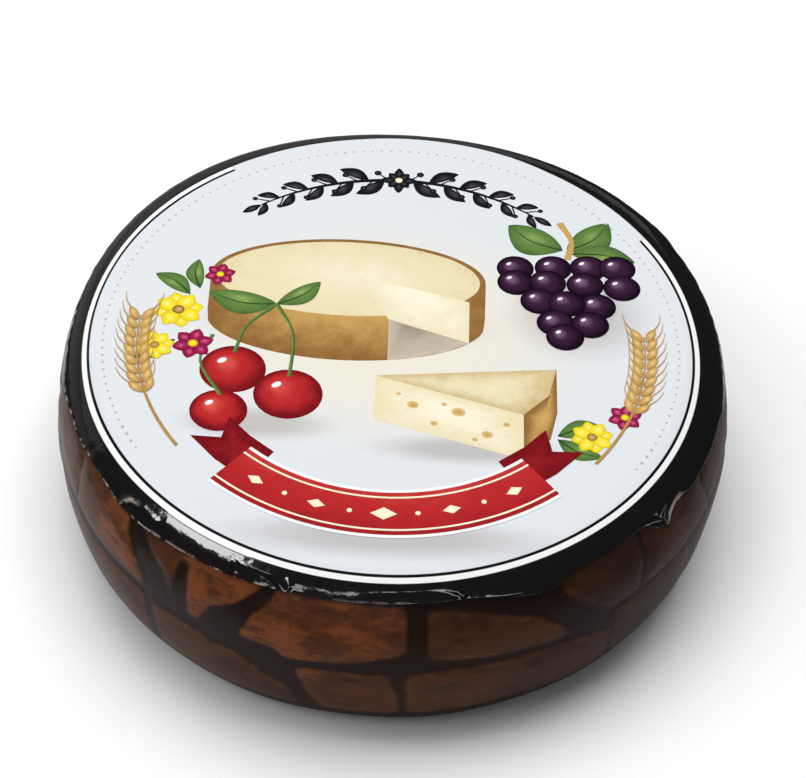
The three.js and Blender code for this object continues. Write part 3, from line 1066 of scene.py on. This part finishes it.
# %% Draw the wheat
GRAINS = 9
GRAIN_LENGTH, GRAIN_WIDTH = 9.0, 3.8
STALK_RADIUS, STALK_START, STALK_END = 108, 52, 94
EAR_START, EAR_SHARE = 0.42, 0.54
for side in (-1, 1):
    stalk = arc(STALK_RADIUS, FRONT + side * STALK_START, FRONT + side * STALK_END)
    inks["ochre"].stroke(stalk, taper(1.5, 1.1, 0.6), 30, (0.7, 0.7))
    for i in range(GRAINS):
        share = EAR_START + EAR_SHARE * i / (GRAINS - 1)
        ahead = heading(stalk, share)
        for lean in (-1, 1):
            aside = lean * leftward(ahead)
            out = (ahead + 0.55 * aside).normalized()
            base = stalk(share) + 0.8 * aside
            awn = through(base + 0.8 * GRAIN_LENGTH * out, base + 1.5 * GRAIN_LENGTH * out,
                          base + 2.1 * GRAIN_LENGTH * (out + 0.25 * ahead).normalized())
            inks["ochre"].stroke(awn, taper(0.6, 0.2), 8, (0.6, 0.6))
            grain = leaf(base, base + GRAIN_LENGTH * out, GRAIN_WIDTH)
            inks["ochre"].shape(grain, base + 0.6 * GRAIN_LENGTH * out, 20, (0.0, 0.75))
print(2 * GRAINS, "pairs of grains drawn")

# %% Draw the garland and the beads
GARLAND_RADIUS, GARLAND_END = 102, 37
GARLAND_LEAVES = 9
GARLAND_LEAF = 17.0
GARLAND_START, GARLAND_SHARE = 0.10, 0.86
ROSETTE_AT = (0, GARLAND_RADIUS)
ROSETTE_REACHES = [8.6, 6.6] * 4
BEAD_RADIUS, BEAD_STEP = 122.5, 2

for side in (-1, 1):
    stem = arc(GARLAND_RADIUS, FAR, FAR + side * GARLAND_END)
    inks["black"].stroke(stem, taper(2.2, 1.7, 0.8), 36, (0.3, 0.8))
    for i in range(GARLAND_LEAVES):
        share = GARLAND_START + GARLAND_SHARE * i / (GARLAND_LEAVES - 1)
        size = GARLAND_LEAF * (1 - 0.45 * share)
        ahead = heading(stem, share)
        aside = side * (-1) ** i * leftward(ahead)
        out = (ahead + 0.7 * aside).normalized()
        bend = 0.09 * size * side * (-1) ** i
        frond = leaf(stem(share), stem(share) + size * out, 0.4 * size, bend)
        inks["black"].shape(frond, stem(share) + 0.5 * size * out, 28, (0.0, 0.7))
        berry = stem(share + 0.02) - 5.0 * aside + 1.5 * ahead
        inks["black"].stroke(through(stem(share - 0.03), berry), taper(0.8, 0.6), 6)
        inks["black"].dot(berry, 1.7 - 0.5 * share, 16, (0.0, 0.8))
    tip = stem(1) + 10 * ahead
    inks["black"].shape(leaf(stem(1), tip, 3.8), stem(1).lerp(tip, 0.5), 24, (0.0, 0.7))
petals(inks["black"], ROSETTE_AT, ROSETTE_REACHES, 4.4, 0, 0.5, (0.0, 0.8))
inks["cream"].dot(ROSETTE_AT, 1.7, tones=(0.0, 0.4))
for angle in range(-34, 215, BEAD_STEP):
    inks["grey"].dot(on_arc(BEAD_RADIUS, angle), 0.6, 8, (0.4, 0.6))
print(2 * GARLAND_LEAVES, "garland leaves drawn")

# %% Lay the inks on the paper
for name, ink in inks.items():
    ink.piece(ink_finish(name + "_ink", *INKS[name]))
print("films in all", max(level for _, _, level in Ink.laid))

# %% [markdown]
# ## The floor
# The wheel stands on a plain pale floor. The sheet right under it is mirrored faintly in the
# rind. The border mirrors a darker room, so the floor further out is kept out of reflections,
# and a dim card that is seen only in them turns the back of the border charcoal grey.

# %% Lay the floor
FLOOR_GREY, CARD_GREY = 0.92, 0.20
FLOOR_RADIUS = 1.4
SHEET_RADIUS = 0.27
SHEET_CENTRE = (0, -0.06)
SHEET_STEP_MM = 0.03
CARD_CENTRE = (-0.70, 0.90)
CARD_RADIUS = 0.90


def ground(name, radius, height_mm, grey, centre=(0, 0)):
    """A round flat piece of floor in an even matt grey."""
    bm = bmesh.new()
    bmesh.ops.create_circle(bm, cap_ends=True, segments=96, radius=radius)
    bmesh.ops.translate(bm, verts=bm.verts, vec=(*centre, height_mm * MM))
    piece = as_piece(name, bm)
    matt = Finish(name)
    matt.principled(base_color=(grey, grey, grey), roughness=0.9, specular_ior_level=0.0)
    piece.data.materials.append(matt.material)
    return piece


ground("floor sheet", SHEET_RADIUS, 0, FLOOR_GREY, SHEET_CENTRE)
far_floor = ground("far floor", FLOOR_RADIUS, -SHEET_STEP_MM, FLOOR_GREY)
far_floor.visible_glossy = False
card = ground("floor card", CARD_RADIUS, -SHEET_STEP_MM / 2, CARD_GREY, CARD_CENTRE)
card.visible_camera = card.visible_diffuse = card.visible_shadow = False
print("floor", 2 * FLOOR_RADIUS, "m across")

# %% [markdown]
# ## The light
# Large flat lamps give soft studio light. Each is seen either by the matt colours or by the
# gloss, so a highlight can be placed without changing the rest. Two fills light the colours.
# In the gloss, a lamp high on the left makes the bright streak along the border, two narrow
# strips pick out its creases, and a wide dim window stands behind. The world is white to the
# camera and almost black to the gloss.

# %% Place the lamps
TARGET = Vector((0, 0, 0.045))
LAMP_DISTANCE = 2.6
LAMPS = [
    ("left softbox", True, -70, 49, (1.0, 1.3), 20, 26),
    ("front strip", True, 0, 27, (3.2, 0.28), 8, 0),
    ("right strip", True, 84, 4, (0.8, 0.26), 4, 0),
    ("back window", True, -155, 14, (6.2, 1.3), 0.38, 0),
    ("left fill", False, -68, 50, (1.8, 1.4), 2.7, 0),
    ("overhead softbox", False, 180, 78, (2.4, 1.9), 4.5, 0),
]


def softbox(name, in_gloss, azimuth, elevation, size, radiance, roll):
    """A flat lamp turned to the wheel; its power follows from how bright it looks."""
    a, e = math.radians(azimuth), math.radians(elevation)
    toward = Vector((math.sin(a) * math.cos(e), -math.cos(a) * math.cos(e), math.sin(e)))
    lamp = bpy.data.lights.new(name, "AREA")
    lamp.shape = "RECTANGLE"
    lamp.size, lamp.size_y = size
    lamp.energy = radiance * math.pi * size[0] * size[1]
    holder = bpy.data.objects.new(name, lamp)
    holder.location = TARGET + toward * LAMP_DISTANCE
    holder.rotation_mode = "QUATERNION"
    rolled = Quaternion((0, 0, 1), math.radians(roll))
    holder.rotation_quaternion = toward.to_track_quat("Z", "Y") @ rolled
    holder.visible_camera = False
    holder.visible_glossy = in_gloss
    holder.visible_diffuse = not in_gloss
    bpy.context.collection.objects.link(holder)


for values in LAMPS:
    softbox(*values)
print(len(LAMPS), "lamps")

# %% Brighten the world
AROUND, BEHIND, IN_GLOSS = 0.2, 1.0, 0.02

world = bpy.data.worlds.new("studio")
world.use_nodes = True
sky = world.node_tree
rays = sky.nodes.new("ShaderNodeLightPath").outputs
strength = sky.nodes.new("ShaderNodeValue").outputs[0]
strength.default_value = AROUND
for ray, seen in (("Is Camera Ray", BEHIND), ("Is Glossy Ray", IN_GLOSS)):
    step = sky.nodes.new("ShaderNodeMix")
    sky.links.new(rays[ray], step.inputs[0])
    sky.links.new(strength, step.inputs[2])
    step.inputs[3].default_value = seen
    strength = step.outputs[0]
sky.nodes["Background"].inputs["Color"].default_value = (1, 1, 1, 1)
sky.links.new(strength, sky.nodes["Background"].inputs["Strength"])
bpy.context.scene.world = world
bpy.context.scene.view_settings.view_transform = "Standard"
print("world at", AROUND, "round the wheel")

# %% [markdown]
# ## The camera
# The camera looks down on the front as the photograph does. Its height, roll and scale were
# fitted to the outline and to the label's rings, and a small shift frames the wheel alike.

# %% Set the camera up
PHOTO_WIDTH, PHOTO_HEIGHT = 806, 778
CAMERA_ELEVATION = 46.69
CAMERA_DISTANCE = 1.0
CAMERA_ROLL = 2.55
PIXELS_PER_MM = 2.268
AXIS_PIXEL = (392.6, 401.5)
SENSOR = 36.0

e, roll = math.radians(CAMERA_ELEVATION), math.radians(CAMERA_ROLL)
back = Vector((0, -math.cos(e), math.sin(e)))
level_right = Vector((1, 0, 0))
level_up = back.cross(level_right)
right = level_right * math.cos(roll) + level_up * math.sin(roll)
up = level_up * math.cos(roll) - level_right * math.sin(roll)
camera = bpy.data.cameras.new("camera")
camera.sensor_width = SENSOR
camera.lens = PIXELS_PER_MM * CAMERA_DISTANCE / MM / PHOTO_WIDTH * SENSOR
camera.shift_x = (PHOTO_WIDTH / 2 - AXIS_PIXEL[0]) / PHOTO_WIDTH
camera.shift_y = (AXIS_PIXEL[1] - PHOTO_HEIGHT / 2) / PHOTO_WIDTH
stand = bpy.data.objects.new("camera", camera)
stand.matrix_world = Matrix.Translation(TARGET + back * CAMERA_DISTANCE) @ Matrix(
    (right, up, back)).transposed().to_4x4()
bpy.context.collection.objects.link(stand)
bpy.context.scene.camera = stand
print("camera", round(camera.lens, 1), "mm lens")
